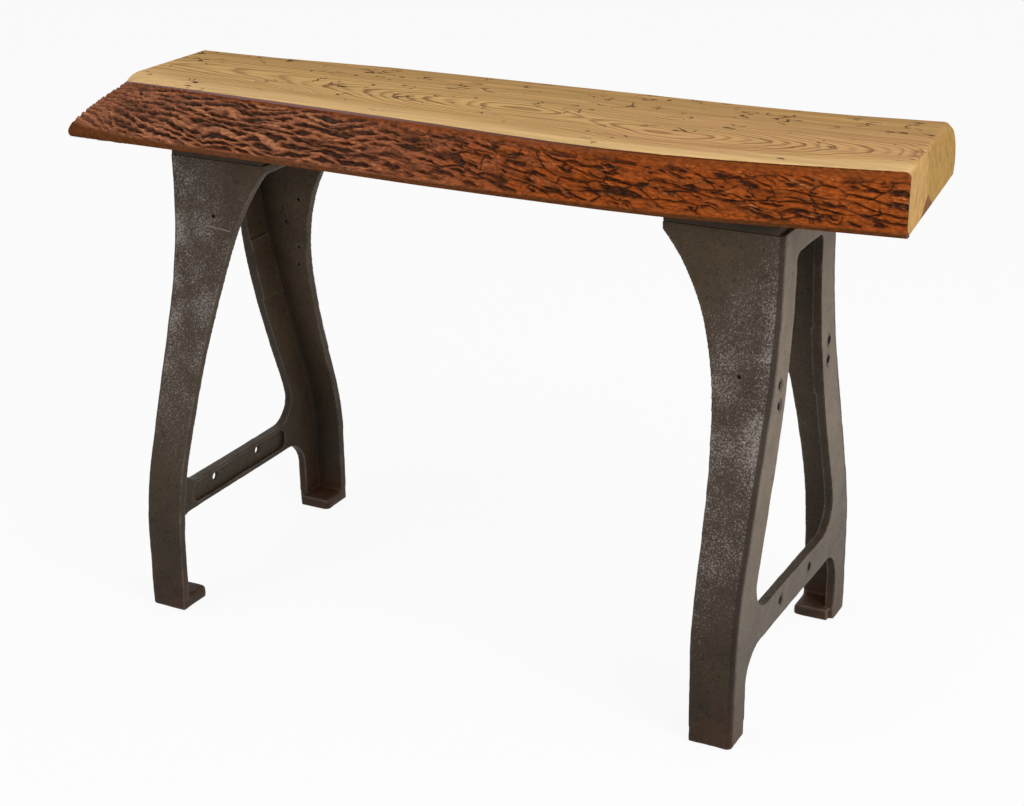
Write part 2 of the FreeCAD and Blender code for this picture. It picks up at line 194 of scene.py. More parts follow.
class StageSettings(bpy.types.PropertyGroup):
    """Light, floor and camera."""

    floor_size: length("Floor size", "Side of the floor", 16000.0)
    ambient: plain_number("Ambient", "Strength of the even light from all round", 0.55, min=0)
    key_power: plain_number("Key power", "Power of the large lamp on the right", 75.0, min=0, unit="POWER")
    fill_power: plain_number("Fill power", "Power of the large lamp on the left", 38.0, min=0, unit="POWER")
    lens: plain_number("Lens", "Focal length of the camera", 69.63, min=1, unit="CAMERA")
    azimuth: plain_number(
        "Azimuth", "How far the camera stands round to the right", math.radians(27.902), subtype="ANGLE",
    )
    elevation: plain_number(
        "Elevation", "How far the camera looks down", math.radians(21.908), subtype="ANGLE",
    )
    roll: plain_number("Roll", "How far the camera leans", math.radians(-0.657), subtype="ANGLE")
    position: bpy.props.FloatVectorProperty(
        name="Position", description="Where the camera stands", default=(1.4047, -2.6440, 1.5799),
        subtype="TRANSLATION", unit="LENGTH",
    )


# Nodes and meshes


def per_metre(size):
    """Texture scale that repeats once in a length given in metres."""
    return 1 / size


def add_node(tree, kind, *values, stops=(), **named):
    """Add a node. Values fill its open sockets in order, and a name is that of a socket or else of a setting.

    A node given as a value stands for its first open output. Stops are the places and greys of a ramp.
    """
    node = tree.nodes.new("ShaderNode" + kind)
    for name, value in named.items():
        if name not in node.inputs:
            setattr(node, name, value)
    pairs = list(zip((socket for socket in node.inputs if socket.enabled), values))
    pairs += [(node.inputs[name], value) for name, value in named.items() if name in node.inputs]
    for socket, value in pairs:
        if isinstance(value, bpy.types.Node):
            value = next(output for output in value.outputs if output.enabled)
        if isinstance(value, bpy.types.NodeSocket):
            tree.links.new(value, socket)
        else:
            socket.default_value = value
    if stops:
        elements = node.color_ramp.elements
        while len(elements) < len(stops):
            elements.new(1.0)
        for element, (position, value) in zip(elements, stops):
            element.position = position
            element.color = (value, value, value, 1.0)
    return node


def start_nodes(owner):
    """Empty the node tree of a material or a world, and give the function that adds a node to it."""
    owner.use_nodes = True
    owner.node_tree.nodes.clear()
    return partial(add_node, owner.node_tree)


def merged_copy(node_name):
    """A bmesh copy of a CAD node with its loose triangles merged."""
    shape = bmesh.new()
    shape.from_mesh(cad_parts[node_name].data)
    bmesh.ops.remove_doubles(shape, verts=shape.verts, dist=MERGE_DISTANCE)
    return shape


def surface_of(node_name):
    """The surface of a CAD node, to measure distances to it."""
    shape = merged_copy(node_name)
    surface = bvhtree.BVHTree.FromBMesh(shape)
    shape.free()
    return surface


def reskin(shape, size):
    """Give a closed bmesh an even skin of quads."""
    mesh = bpy.data.meshes.new("skin")
    shape.to_mesh(mesh)
    carrier = bpy.data.objects.new("skin", mesh)
    bpy.context.scene.collection.objects.link(carrier)
    modifier = carrier.modifiers.new("even skin", "REMESH")
    modifier.mode = "SHARP"
    modifier.use_remove_disconnected = False
    cells = max(carrier.dimensions) / size
    modifier.octree_depth = math.ceil(math.log2(cells / LARGEST_REMESH_SCALE))
    modifier.scale = cells / 2 ** modifier.octree_depth
    graph = bpy.context.evaluated_depsgraph_get()
    even = bpy.data.meshes.new_from_object(carrier.evaluated_get(graph))
    shape.clear()
    shape.from_mesh(even)
    bpy.data.objects.remove(carrier)
    bpy.data.meshes.remove(mesh)
    bpy.data.meshes.remove(even)
    shape.normal_update()


def saw(shape, place, across, **options):
    """Cut a bmesh along a plane, and give the vertices and edges of the cut."""
    everything = shape.verts[:] + shape.edges[:] + shape.faces[:]
    return bmesh.ops.bisect_plane(
        shape, geom=everything, dist=MERGE_DISTANCE, plane_co=place, plane_no=across, **options,
    )["geom_cut"]


def cut_across(shape, axis, places):
    """Cut a bmesh at places along an axis, so that its skin can bend there, and give the cuts."""
    across = Vector((0, 0, 0))
    across[axis] = 1
    return [saw(shape, across * place, across) for place in places]


def steps(start, end, size):
    """Places from start to end, both left out, about one size apart."""
    count = math.ceil((end - start) / size)
    return [blend(start, end, number / count) for number in range(1, count)]


def smooth(shape, rounds, vertices):
    """Ease the steps of an even skin."""
    for _ in range(rounds):
        bmesh.ops.smooth_vert(
            shape, verts=vertices, factor=0.5, use_axis_x=True, use_axis_y=True, use_axis_z=True,
        )
    shape.normal_update()


def right_end(node_name):
    """A place on the sawn right end of a CAD node, and the way that it faces."""
    end = max(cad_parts[node_name].data.polygons, key=lambda face: face.normal.x * face.area)
    return end.center.copy(), end.normal.copy()


def roll_end(shape, centre, outwards, radius):
    """Lower the top of a bmesh in a quarter round where it meets the sawn right end."""
    bent_height = 25 * MM
    for vertex in shape.verts:
        inside = max((centre - vertex.co).dot(outwards), 0)
        if inside < radius:
            drop = radius - math.sqrt(radius ** 2 - (radius - inside) ** 2)
            vertex.co.z -= drop * ease(slab_high.z - bent_height, slab_high.z, vertex.co.z)


def keep_in_box(shape, low, high):
    """Hold every vertex inside a CAD box."""
    for vertex in shape.verts:
        for axis in range(3):
            vertex.co[axis] = clamp(vertex.co[axis], low[axis], high[axis])


def new_piece(name, shape, material, node_name):
    """Make a piece of a bmesh, ride it on the table and let it stand for a CAD node."""
    mesh = bpy.data.meshes.new(name)
    for face in shape.faces:
        face.smooth = abs(face.normal.z) < SAWN_FLAT
    for edge in shape.edges:
        edge.smooth = edge.calc_face_angle(0) < SHARP_ANGLE
    shape.to_mesh(mesh)
    shape.free()
    mesh.materials.append(material)
    piece = bpy.data.objects.new(name, mesh)
    bpy.context.scene.collection.objects.link(piece)
    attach(piece, BODY)
    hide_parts(node_name)
    return piece


def store(piece, kind="FLOAT", **attributes):
    """Keep one value for each vertex under each name, as attributes that the material reads."""
    for name, values in attributes.items():
        attribute = piece.data.attributes.new(name, kind, "POINT")
        if kind == "FLOAT":
            attribute.data.foreach_set("value", values)
        else:
            attribute.data.foreach_set("vector", [part for value in values for part in value])


def clamp(value, low=0.0, high=1.0):
    return min(max(value, low), high)


def ease(low, high, value):
    """A smooth step from 0 at low to 1 at high."""
    share = clamp((value - low) / (high - low))
    return share * share * (3 - 2 * share)


def blend(start, end, share):
    return start + (end - start) * share


# Plank


def varnished_plank(settings):
    """A sawn plank under satin varnish: ring lines in long ovals, fine fibre, and beetle tracks."""
    material = bpy.data.materials.new("varnished sawn hardwood")
    add = start_nodes(material)
    coordinates = add("TexCoord").outputs
    place = coordinates["Object"]
    x, y, z = add("SeparateXYZ", place).outputs
    below = add("Math", z, slab_high.z, operation="SUBTRACT")

    # Noises stretched along the grain: length and width of their spots in metres, and detail
    # The fibre is drawn coarser than real pores so that it shows
    spots = {
        "slow": (0.26, 0.075, 3.0),
        "fine": (0.03, 0.012, 2.0),
        "broad": (0.5, 0.06, 4.0),
        "streak": (0.4, 0.014, 3.0),
        "fibre": (0.07, settings.fibre_width, 3.0),
        "winding": (0.04, 0.018, 1.5),
    }
    grain = {}
    for name, (spot_length, spot_width, detail) in spots.items():
        scale = (per_metre(spot_length), per_metre(spot_width), per_metre(spot_width))
        stretched = add("Mapping", place, Scale=scale)
        grain[name] = add("TexNoise", stretched, 1.0, detail)

    # The heart of the trunk runs under the top, near it where the ring lines close to ovals
    # Its depths below the top and its places across the table stand at stations along it, in millimetres
    depths = ((-673, 112), (-390, 96), (-200, 74), (-60, 54), (35, 46), (140, 55), (190, 52),
              (282, 44), (376, 52), (500, 74), (625, 98), (673, 106))
    places = ((-673, 40), (-390, 17), (-200, -6), (35, -4), (150, -22), (282, -56), (410, -42),
              (540, -30), (640, -5))
    along = add("MapRange", x, -half_length, half_length)
    span = 0.4
    heart_line = []
    for stations in (depths, places):
        ramp = add("ValToRGB", along, stops=[
            (0.5 + station * MM / (2 * half_length), 0.5 + value * MM / span) for station, value in stations
        ])
        ramp.color_ramp.interpolation = "CARDINAL"
        heart_line.append(add("Math", ramp, span, -span / 2, operation="MULTIPLY_ADD"))
    heart_depth, heart_place = heart_line

    # Slow drift and a fine tremble keep the rings from true rounds
    drift = 0.0
    for name, reach in (("slow", 2 * settings.ring_drift), ("fine", 1.1 * MM)):
        swing = add("Math", grain[name], 0.5, operation="SUBTRACT")
        drift = add("Math", swing, reach, drift, operation="MULTIPLY_ADD")
    away = add("Math", y, heart_place, operation="SUBTRACT")
    above = add("Math", below, heart_depth, operation="ADD")
    radius = add("VectorMath", add("CombineXYZ", away, above), operation="LENGTH")
    radius = add("Math", radius, drift, operation="ADD")
    rings = add("Math", radius, per_metre(settings.ring_spacing), operation="MULTIPLY")
    phase = add("Math", rings, operation="FRACT")
    ring_number = add("Math", rings, operation="FLOOR")
    ring_luck = add("TexWhiteNoise", ring_number, noise_dimensions="1D")
    ring_share = add("MapRange", ring_luck, 0.0, 1.0, 0.35, 1.0)
    late = add("ValToRGB", phase, stops=(
        (0.0, 0.25), (0.18, 0.0), (0.5, 0.1), (0.8, 0.85), (0.9, 1.0), (1.0, 0.3),
    ))

    # Broad colour of the wood from front to back and left to right, with quiet rings in the sapwood
    rosy_share = add("MapRange", x, -0.1, 0.5, interpolation_type="SMOOTHSTEP")
    rosy_share = add("Math", rosy_share, grain["broad"], operation="MULTIPLY")
    back_share = add("MapRange", y, 0.0, 0.15, 0.0, 0.8, interpolation_type="SMOOTHSTEP")
    from_bark = add("Attribute", attribute_name="from_bark").outputs["Fac"]
    front_place = add("Math", grain["broad"], 0.03, from_bark, operation="MULTIPLY_ADD")
    sap_share = add("MapRange", front_place, 0.075, 0.03, interpolation_type="SMOOTHSTEP")
    quiet = add("MapRange", sap_share, 0.0, 1.0, 1.0, 0.2)
    for share in (ring_share, quiet):
        late = add("Math", late, share, operation="MULTIPLY")
    wood = settings.early_wood
    for share, cover in (
        (rosy_share, settings.rosy_wood), (back_share, settings.back_wood),
        (sap_share, settings.sap_wood), (late, settings.late_wood),
    ):
        wood = add("Mix", share, wood, cover, data_type="RGBA")
    for name, lightest in (("streak", 1.16), ("fibre", 1.1)):
        tone = add("MapRange", grain[name], *NOISE_BAND, 0.86, lightest)
        wood = add("VectorMath", wood, tone, operation="MULTIPLY")

    # Beetle tracks are short pieces of the level lines of a noise, most of them behind and on the top
    level = add("Math", grain["winding"], 0.5, operation="SUBTRACT")
    level = add("Math", level, operation="ABSOLUTE")
    line = add("MapRange", level, 0.03, 0.012)
    patch_place = add("Mapping", place, Location=(3.0, 1.0, 0.0))
    patch = add("TexNoise", patch_place, per_metre(0.04), 2.0)
    back = add("Math", y, 0.12, operation="MINIMUM")
    for distance, rise in ((back, 0.4), (below, 1.5)):
        patch = add("Math", distance, rise, patch, operation="MULTIPLY_ADD")
    patch = add("MapRange", patch, 0.59, 0.63)
    tracks = add("Math", line, patch, operation="MULTIPLY")
    wood = add("Mix", tracks, wood, settings.track, data_type="RGBA")

    # The right end is sawn across: two tones that meet in a crease, and the red heart at its foot
    rightwards = add("SeparateXYZ", coordinates["Normal"]).outputs[0]
    on_right = add("MapRange", rightwards, 0.6, 0.95)
    endwards = add("Math", rightwards, operation="ABSOLUTE")
    end_share = add("MapRange", endwards, 0.6, 0.95)
    crease_slope = 23 / 65
    crease_top_y = 19 * MM
    crease_top_z = 865 * MM
    crease_at = crease_top_y + crease_top_z * crease_slope
    behind = add("Math", z, crease_slope, y, operation="MULTIPLY_ADD")
    behind = add("MapRange", behind, crease_at - 2 * MM, crease_at + 2 * MM)
    heart_middle_y = 37 * MM
    heart_top_z = 799 * MM
    heart_spread = 47 / 27
    beside = add("Math", y, heart_middle_y, operation="SUBTRACT")
    beside = add("Math", beside, operation="ABSOLUTE")
    heart = add("Math", heart_top_z, z, operation="SUBTRACT")
    heart = add("Math", heart, heart_spread, operation="MULTIPLY")
    heart = add("Math", heart, beside, operation="SUBTRACT")
    heart = add("Math", grain["slow"], 20 * MM, heart, operation="MULTIPLY_ADD")
    heart = add("MapRange", heart, 6 * MM, 14 * MM)
    sawn = settings.end_wood
    for share, cover in ((behind, settings.end_back_wood), (heart, settings.heart_wood)):
        share = add("Math", share, on_right, operation="MULTIPLY")
        sawn = add("Mix", share, sawn, cover, data_type="RGBA")
    mottle = add("TexNoise", place, per_metre(0.016), 5.0, 0.65)
    mottle = add("MapRange", mottle, *NOISE_BAND, 0.75, 1.2)
    sawn = add("VectorMath", sawn, mottle, operation="MULTIPLY")
    end_rings = add("Math", late, 0.3, operation="MULTIPLY")
    sawn = add("Mix", end_rings, sawn, settings.late_wood, data_type="RGBA")
    wood = add("Mix", end_share, wood, sawn, data_type="RGBA")

    relief = add("Math", tracks, -1.5, grain["fibre"], operation="MULTIPLY_ADD")
    bump = add("Bump", Strength=0.12, Distance=0.4 * MM, Height=relief)
    roughness = add("MapRange", late, 0.0, 1.0, 0.38, 0.5)
    add("OutputMaterial", add("BsdfPrincipled", wood, Roughness=roughness, Normal=bump, **{
        "Specular IOR Level": 0.0, "Coat Weight": 0.06, "Coat Roughness": 0.25,
    }))
    return material


class LIVE_EDGE_OT_plank(bpy.types.Operator):
    """Dress the plank: an even skin with a waved, debarked rear edge and a rolled right end"""

    bl_idname = "live_edge.plank"
    bl_label = "Plank"

    def execute(self, context):
        settings = context.scene.live_edge_plank
        shape = merged_copy("top_slab")
        cut_across(shape, 0, steps(slab_low.x, slab_high.x, settings.skin))
        cut_across(shape, 2, steps(slab_low.z, slab_high.z, settings.skin))
        centre, outwards = right_end("top_slab")

        # Cuts for the quarter round lie closer together where it is steep
        for share in (0.06, 0.18, 0.35, 0.6, 1.0):
            saw(shape, centre - share * settings.end_radius * outwards, outwards)
        shape.normal_update()
        wave_length = 0.09
        wave_height = 0.03
        for vertex in shape.verts:
            rear = ease(0.1, 0.6, vertex.normal.y) * ease(0.06, 0.16, vertex.co.y)
            if rear > 0:
                spot = Vector((vertex.co.x / wave_length, vertex.co.z / wave_height, 0))
                depth = settings.rear_waves * clamp(0.5 + noise.fractal(spot, 0.8, 2.0, 4)) * rear
                inwards = Vector((0, vertex.normal.y, vertex.normal.z)).normalized()
                vertex.co -= inwards * depth
        roll_end(shape, centre, outwards, settings.end_radius)
        keep_in_box(shape, slab_low, slab_high)
        bark = surface_of("bark_edge")
        distances = [bark.find_nearest(vertex.co)[3] for vertex in shape.verts]
        piece = new_piece("live_edge_plank", shape, varnished_plank(settings), "top_slab")
        store(piece, from_bark=distances)
        return {"FINISHED"}


# Bark


def varnished_bark(settings):
    """Dry bark under gloss varnish: orange and red brown plates, black cracks with painted shade in and round
    them, painted highlights on the crests, smooth strips at its edges.
    """
    material = bpy.data.materials.new("varnished bark")
    add = start_nodes(material)
    place = add("Attribute", attribute_name="bark_place").outputs["Vector"]
    crack, shade, tone = (
        add("Attribute", attribute_name=name).outputs["Fac"] for name in ("crack", "shade", "plate_tone")
    )
    along, down, share = add("SeparateXYZ", place).outputs
    grain = add("Mapping", place, Scale=(per_metre(0.01), per_metre(0.0035), 0.0))
    grain = add("TexNoise", grain, 1.0, 5.0, 0.65)
    cloud = add("Mapping", place, Scale=(per_metre(0.09), per_metre(0.03), 0.0))
    cloud = add("TexNoise", cloud, 1.0, 3.0)
    right = add("MapRange", along, -0.3, 0.35, interpolation_type="SMOOTHSTEP")
    orange = add("Math", tone, 0.8, operation="ADD")
    orange = add("Math", right, orange, cloud, operation="MULTIPLY_ADD")
    orange = add("MapRange", orange, 0.4, 1.6)
    # On the left the tone is the height of the crests, so the pale flecks there are painted highlights
    fleck_and_highlight = add("Math", grain, tone, operation="ADD")
    fleck_and_highlight = add("MapRange", fleck_and_highlight, 1.36, 1.55, 0.0, 0.6)

    # Plates, worn flecks and painted highlights on the crests, with smooth inner bark along both edges
    upper = add("MapRange", down, 0.016, 0.006, interpolation_type="SMOOTHSTEP")
    lower = add("MapRange", share, 0.9, 0.95, interpolation_type="SMOOTHSTEP")
    bark = settings.red_plate
    for part, cover in (
        (orange, settings.orange_plate), (fleck_and_highlight, settings.pale_fleck),
        (upper, settings.upper_strip), (lower, settings.lower_strip),
    ):
        bark = add("Mix", part, bark, cover, data_type="RGBA")
    grain_tone = add("MapRange", grain, *NOISE_BAND, 0.45, 1.4)
    # Painted shade round the cracks, between the ridges and in the furrows, a little lighter away from them
    shade_tone = add("MapRange", shade, 0.0, 1.0, 1.1, 0.45)
    for factor in (grain_tone, shade_tone):
        bark = add("VectorMath", bark, factor, operation="MULTIPLY")

    # Cracks darkened with painted shade, the rim between wood and bark, with a painted sheen at the left, and
    # the sawn ends
    open_share = add("MapRange", grain, 0.4, 0.66, 1.0, 0.4)
    open_share = add("Math", crack, open_share, operation="MULTIPLY")
    rim = add("Mix", right, settings.left_rim, settings.right_rim, data_type="RGBA")
    rim_width = add("MapRange", right, 0.0, 1.0, 5 * MM, 2 * MM)
    rim_share = add("Math", down, rim_width, operation="SUBTRACT")
    rim_share = add("MapRange", rim_share, 0.8 * MM, -0.8 * MM)
    endwards = add("SeparateXYZ", add("TexCoord").outputs["Normal"]).outputs[0]
    endwards = add("Math", endwards, operation="ABSOLUTE")
    end_share = add("MapRange", endwards, 0.7, 0.85)
    for part, cover in ((open_share, settings.crevice), (rim_share, rim), (end_share, settings.sawn_bark)):
        bark = add("Mix", part, bark, cover, data_type="RGBA")
    bump = add("Bump", Strength=0.5, Distance=1.2 * MM, Height=grain)
    roughness = add("MapRange", crack, 0.0, 1.0, 0.4, 0.85)
    add("OutputMaterial", add("BsdfPrincipled", bark, Roughness=roughness, Normal=bump, **{
        "Specular IOR Level": 0.0, "Coat Weight": 0.11, "Coat Roughness": 0.12,
    }))
    return material


def bark_ring(cut):
    """One cut through the bark, in order from its border with the wood down the face and back behind it."""
    vertices = [part for part in cut if isinstance(part, bmesh.types.BMVert)]
    edges = {part for part in cut if isinstance(part, bmesh.types.BMEdge)}
    start = max(vertices, key=lambda vertex: vertex.co.z)
    ways = [edge for edge in start.link_edges if edge in edges]
    edge = min(ways, key=lambda way: way.other_vert(start).co.y)
    ring = [start]
    while ring[-1] != start or len(ring) == 1:
        ring.append(edge.other_vert(ring[-1]))
        edge = next(way for way in ring[-1].link_edges if way in edges and way != edge)
    return [vertex.co.copy() for vertex in ring]


def evenly(points, count):
    """Points a fixed share of the way along a line of points, its first left out."""
    lengths = [0.0]
    for start, end in zip(points, points[1:]):
        lengths.append(lengths[-1] + (end - start).length)
    result = []
    number = 0
    for step in range(1, count + 1):
        goal = lengths[-1] * step / count
        while number < len(points) - 2 and lengths[number + 1] < goal:
            number += 1
        share = (goal - lengths[number]) / (lengths[number + 1] - lengths[number])
        result.append(points[number].lerp(points[number + 1], share))
    return result


def bark_rows(ring, rows):
    """A ring as rows of points: down the face with its furrows bridged, on to the underside and back."""
    foot = next(number for number, point in enumerate(ring) if point.z < slab_low.z + HAIR / 2)
    outside = geometry.convex_hull_2d([point.yz for point in ring[:foot + 1]])
    face = [ring[number] for number in sorted({0, foot, *outside})]
    under = Vector((0, -0.5, -0.87))
    turn = max(range(len(face) - 1), key=lambda number: face[number].dot(under))
    nose = min(range(foot, len(ring)), key=lambda number: ring[number].y)
    result = [ring[0]]
    for stretch, count in zip((face[:turn + 1], face[turn:], ring[foot:nose + 1], ring[nose:]), rows):
        result.extend(evenly(stretch, count))
    return result


def furrow_depth(solid, place, outwards):
    """How far the CAD bark lies below a place on its bridged face, found with ragged edges."""
    clear = 2 * MM
    reach = 12 * MM
    ragged_along = 5 * MM
    ragged_down = 2.2 * MM
    down_face = Vector((0, -outwards.z, outwards.y))
    ragged = Vector((ragged_along * wander(place.x, place.z, (0.011, 0.006), 7.9), 0, 0))
    ragged += down_face * ragged_down * wander(place.x, place.z, (0.014, 0.007), 1.3)
    distance = solid.ray_cast(place + ragged + outwards * clear, -outwards, reach)[3]
    return max(distance - clear, 0) if distance else 0


def skewed_end(shape):
    """Saw a bmesh off a hair inside the CAD bark's right end, and close both its ends."""
    centre, outwards = right_end("bark_edge")
    saw(shape, centre - HAIR * outwards, outwards, clear_outer=True)
    open_edges = [edge for edge in shape.edges if edge.is_boundary]
    bmesh.ops.holes_fill(shape, edges=open_edges, sides=0)


def wander(along, down, size, seed):
    """A soft noise from about -1 to 1, stretched to a length and a height in metres."""
    return noise.noise(Vector((along / size[0], down / size[1], seed)))


def seam(size, along, below, seed):
    """Distance to the nearest seam between uneven cells, how level it lies, its luck and that of the cell."""
    spot = Vector((along / size[0], below / size[1], seed))
    nearest, second = noise.voronoi(spot)[1][:2]
    across = second - nearest
    middle = (nearest + second) / 2
    slope = Vector((across.x / size[0], across.y / size[1]))
    gap = across.dot(middle - spot) / slope.length
    joint_luck = noise.noise(middle * 9.1)
    cell_luck = 0.5 + 0.5 * noise.cell(nearest * 7.3)
    return gap, abs(slope.y) / slope.length, joint_luck, cell_luck


def dashes(along, below, size, seed, share):
    """Short flat gaps that thin out to both ends: how dark, and how dim round them."""
    height = wander(along, below, size, seed)
    height += 0.45 * wander(along, below, (0.4 * size[0], 0.5 * size[1]), seed + 3)
    return ease(-share + 0.12, -share - 0.08, height), ease(-share + 0.5, -share, height)


def ridges(settings, along, below):
    """Hollow, shade and tone of the left half: two ways of ridges cross round hollows like lenses."""
    spacing = 1.7 * settings.hollow_height
    lean = spacing / settings.hollow_length / 2
    crest = 0.0
    for way, seed in ((1, 1.7), (-1, 15.3)):
        bend = 0.9 * wander(along, below, (1.2 * settings.hollow_length, 2 * spacing), seed)
        bend += 0.14 * wander(along, below, (0.3 * settings.hollow_length, spacing), seed + 6)
        ridge = 0.5 + 0.5 * math.cos(math.tau * (below + way * lean * along + spacing * bend) / spacing)
        strength = 0.8 + 0.5 * wander(along, below, (0.07, 0.015), seed + 4)
        crest = max(crest, strength * ridge)
    crest += 0.24 * wander(along, below, (0.011, 0.003), 3.3)
    return ease(0.56, 0.36, crest), ease(0.85, 0.45, crest), clamp(crest)


def plates(settings, along, below):
    """Crack, shade and tone of the right half: plates cracked apart in places, flat gaps and small flakes."""
    size = (settings.plate_length, settings.plate_height)
    gap, level, joint_luck, plate_luck = seam(size, along, below, 0.5)
    gape = 0.22 + 0.8 * wander(along, below, (0.04, 0.013), 8.8) + 0.8 * joint_luck
    gape *= settings.crack_width * (0.5 + 0.5 * level)
    edge = 0.7 * MM
    shade_width = 3 * MM
    crack = 1 - ease(0.3 * gape, gape + edge, gap) if gape > 0 else 0
    shade = 0.8 * (1 - ease(max(gape, 0), max(gape, 0) + shade_width, gap))
    for dash_size, seed, share in (((0.05, 0.009), 1.7, 0.47), ((0.024, 0.0055), 15.3, 0.45)):
        dark, dim = dashes(along, below, dash_size, seed, share)
        crack = max(crack, dark)
        shade = max(shade, 0.9 * dim)
    flake_gap, _, _, flake_luck = seam((0.4 * size[0], 0.42 * size[1]), along, below, 2.5)
    shade = max(shade, 0.6 * (1 - ease(0, 1.6 * MM, flake_gap)))
    return crack, shade, 0.5 * plate_luck + 0.5 * flake_luck


def bark_relief(settings, x, down):
    """Depth in metres below the outer face, crack, shade and tone at a place along and down the bark."""
    ridges_end = -0.22
    plates_start = 0.08
    right = ease(ridges_end, plates_start, x + 0.14 * wander(x, down, (0.1, 0.05), 2.4))
    along = x + blend(4, 9, right) * MM * wander(x, down, (0.035, 0.02), 3.1)
    along += blend(1, 2.5, right) * MM * wander(x, down, (0.01, 0.007), 11.2)
    below = down + 5 * MM * wander(x, down, (0.05, 0.025), 5.9) + MM * wander(x, down, (0.009, 0.006), 2.2)
    below -= settings.slant * right * along
    halves = zip(ridges(settings, along, below), plates(settings, along, below))
    crack, shade, tone = (blend(left_value, right_value, right) for left_value, right_value in halves)
    rough = wander(x, down, (0.009, 0.004), 9.2) + 0.5 * wander(x, down, (0.004, 0.002), 6.6)
    depth = settings.crack_depth * (0.65 * crack + 0.35 * shade) + settings.roughness * (0.6 + rough)
    depth += settings.plate_lift * (1 - tone)
    return max(depth, 0), crack, shade, tone


def section_before(spots, x):
    """The number of the last section before a place along the bark, of those that have a next one."""
    return clamp(math.floor((x - spots[0]) / (spots[1] - spots[0])), 0, len(spots) - 2)


def bark_sheet(settings, left_x, right_x):
    """A sheet of quads rolled round sections of the CAD bark and closed, the sections and their places."""
    section_gap = 15 * MM
    skew_room = 8 * MM
    spots = steps(left_x, right_x - skew_room, section_gap)
    rows = (settings.face_rows, settings.turn_rows, settings.hidden_rows, 2 * settings.hidden_rows)
    rough = merged_copy("bark_edge")
    sections = [bark_rows(bark_ring(cut), rows) for cut in cut_across(rough, 0, spots)]
    rough.free()
    columns = math.ceil((right_x - left_x) / settings.skin)
    shape = bmesh.new()
    bmesh.ops.create_grid(shape, x_segments=columns, y_segments=sum(rows), size=0.5)
    for vertex in shape.verts:
        x = blend(left_x, right_x + section_gap, vertex.co.x + 0.5)
        row = round((vertex.co.y + 0.5) * sum(rows))
        before = section_before(spots, x)
        share = (x - spots[before]) / (spots[before + 1] - spots[before])
        vertex.co = sections[before][row].lerp(sections[before + 1][row], share)
    bmesh.ops.remove_doubles(shape, verts=shape.verts, dist=MERGE_DISTANCE)
    skewed_end(shape)
    bmesh.ops.recalc_face_normals(shape, faces=shape.faces)
    return shape, sections, spots


def carve_bark(settings, shape, sections, spots, left_x):
    """Sink the relief into the bark, and give the places and the values that its material reads."""
    solid = surface_of("bark_edge")
    wood = surface_of("top_slab")
    backing = 1.5 * MM

    # The relief fades at the strips, towards the left end and where the bark is thin
    left_strip = 9 * MM
    right_strip = 20 * MM
    lower_strip = (0.86, 0.95)
    calm_length = 0.1
    thin = (1 * MM, 6 * MM)
    places = []
    moves = []
    values = {"crack": [], "shade": [], "plate_tone": []}
    for vertex in shape.verts:
        section = sections[section_before(spots, vertex.co.x)]
        upper = section[0]
        lower = section[settings.face_rows]
        down = (vertex.co.yz - upper.yz).length
        share = down / (lower.yz - upper.yz).length
        thickness = wood.find_nearest(vertex.co)[3]
        outwards = Vector((0, vertex.normal.y, vertex.normal.z)).normalized()
        depth, crack, shade, tone = bark_relief(settings, vertex.co.x, down)
        # The furrows of the CAD bark deepen the relief and darken it with painted shade
        furrow = furrow_depth(solid, vertex.co, outwards)
        depth = max(depth, 0.6 * furrow + 0.6 * depth)
        crack = max(crack, 0.4 * ease(3 * MM, 5.5 * MM, furrow))
        shade = max(shade, 0.7 * ease(0.5 * MM, 3 * MM, furrow))
        upper_strip = blend(left_strip, right_strip, ease(-0.4, 0.2, vertex.co.x))
        fade = ease(2 * MM, upper_strip, down) * (1 - ease(*lower_strip, share))
        fade *= ease(*thin, thickness)
        fade *= blend(0.5, 1, ease(left_x, left_x + calm_length, vertex.co.x))
        moves.append(outwards * min(depth * fade, max(thickness - backing, 0)))
        places.append(Vector((vertex.co.x, down, share)))
        values["crack"].append(crack * fade)
        values["shade"].append(shade * fade)
        values["plate_tone"].append(tone)
    for vertex, move in zip(shape.verts, moves):
        vertex.co -= move
        vertex.co.x = max(vertex.co.x, left_x + HAIR)
    return places, values


class LIVE_EDGE_OT_bark(bpy.types.Operator):
    """Carve the bark: crossing ridges to the left, cracked plates to the right, between two smooth strips"""

    bl_idname = "live_edge.bark"
    bl_label = "Bark"

    def execute(self, context):
        settings = context.scene.live_edge_bark
        low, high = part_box("bark_edge")
        shape, sections, spots = bark_sheet(settings, low.x, high.x)
        places, values = carve_bark(settings, shape, sections, spots, low.x)
        roll_end(shape, *right_end("top_slab"), context.scene.live_edge_plank.end_radius)
        keep_in_box(shape, low, high)
        piece = new_piece("bark_edge_front", shape, varnished_bark(settings), "bark_edge")
        store(piece, "FLOAT_VECTOR", bark_place=places)
        store(piece, **values)
        return {"FINISHED"}


# Castings


